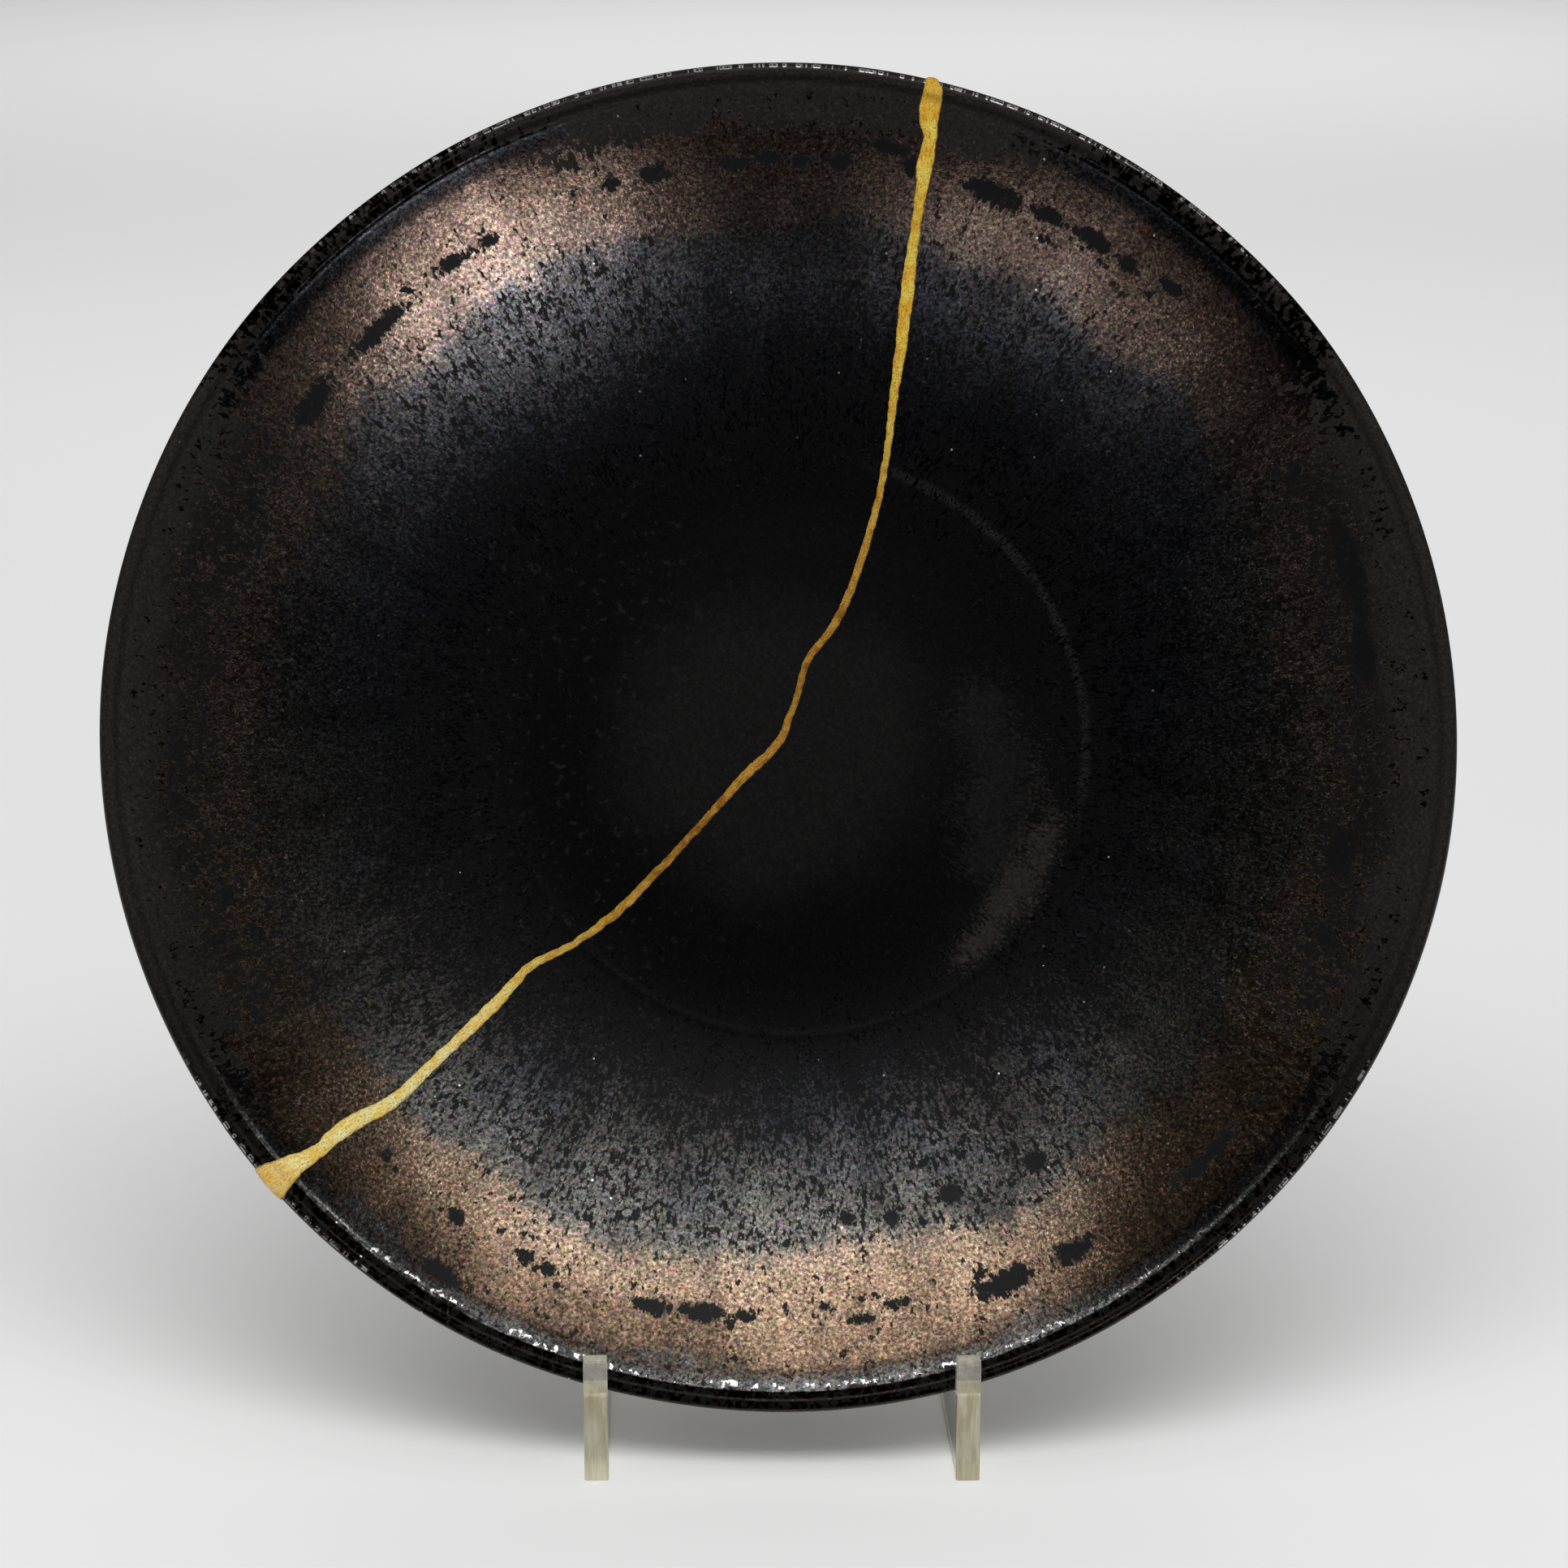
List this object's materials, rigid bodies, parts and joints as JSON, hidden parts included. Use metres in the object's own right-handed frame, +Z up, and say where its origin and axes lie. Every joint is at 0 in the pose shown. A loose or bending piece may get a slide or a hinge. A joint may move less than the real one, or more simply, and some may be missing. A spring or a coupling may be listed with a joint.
{
  "type": "mended ceramic plate on display stand",
  "caption": "Dark-glazed thrown ceramic plate mended with a raised gold seam, standing upright on a clear acrylic plate stand.",
  "frame": {"origin": "centre of the bounding box in plan, at table height, under the plate", "axes": "+X to the viewer's right, +Y from the plate's face to its back, +Z up"},
  "size_m": [0.27, 0.1501, 0.2658],
  "materials": {
    "glaze": "near-black iron glaze with bronze lustre towards the rim, satin gloss",
    "gold": "gold powder on lacquer, satin metallic",
    "acrylic": "clear acrylic sheet, polished faces, faint olive tint through the edges"
  },
  "bodies": {
    "root": {"plate_upper_left_shard": "glaze", "plate_lower_right_shard": "glaze", "gold_seam": "gold", "stand_left_leg": "acrylic", "stand_right_leg": "acrylic", "stand_cross_brace": "acrylic"}
  },
  "joints": []
}
